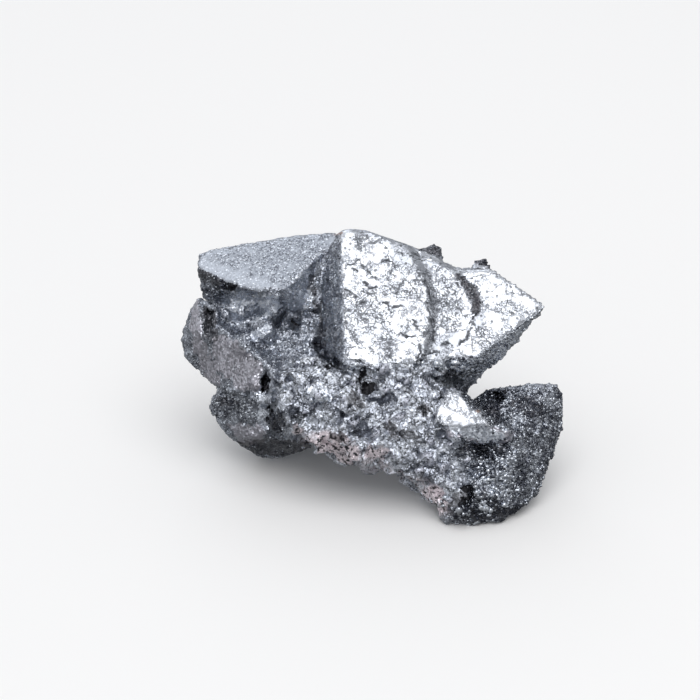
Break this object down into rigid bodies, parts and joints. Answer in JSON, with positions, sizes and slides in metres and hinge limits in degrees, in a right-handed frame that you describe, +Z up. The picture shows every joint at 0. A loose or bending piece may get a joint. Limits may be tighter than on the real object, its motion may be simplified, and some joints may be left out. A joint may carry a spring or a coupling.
{
  "type": "hematite pseudomorph",
  "caption": "Rough cluster of intergrown octahedral iron-oxide crystals with stepped bright faces on a crumbly ground, standing on its own feet.",
  "frame": {"origin": "centre of the bounding box in plan, on the surface that the cluster stands on", "axes": "+Z up, +X along the cluster's longest side, -Y towards the display side, which leans back 30 degrees"},
  "size_m": [0.0666, 0.0472, 0.0415],
  "materials": {
    "hematite": "submetallic steel-grey hematite: mirror-bright on the main growth faces, dark and sparkling with tiny crystals elsewhere"
  },
  "bodies": {
    "root": {"hematite_cluster": "hematite"}
  },
  "joints": []
}
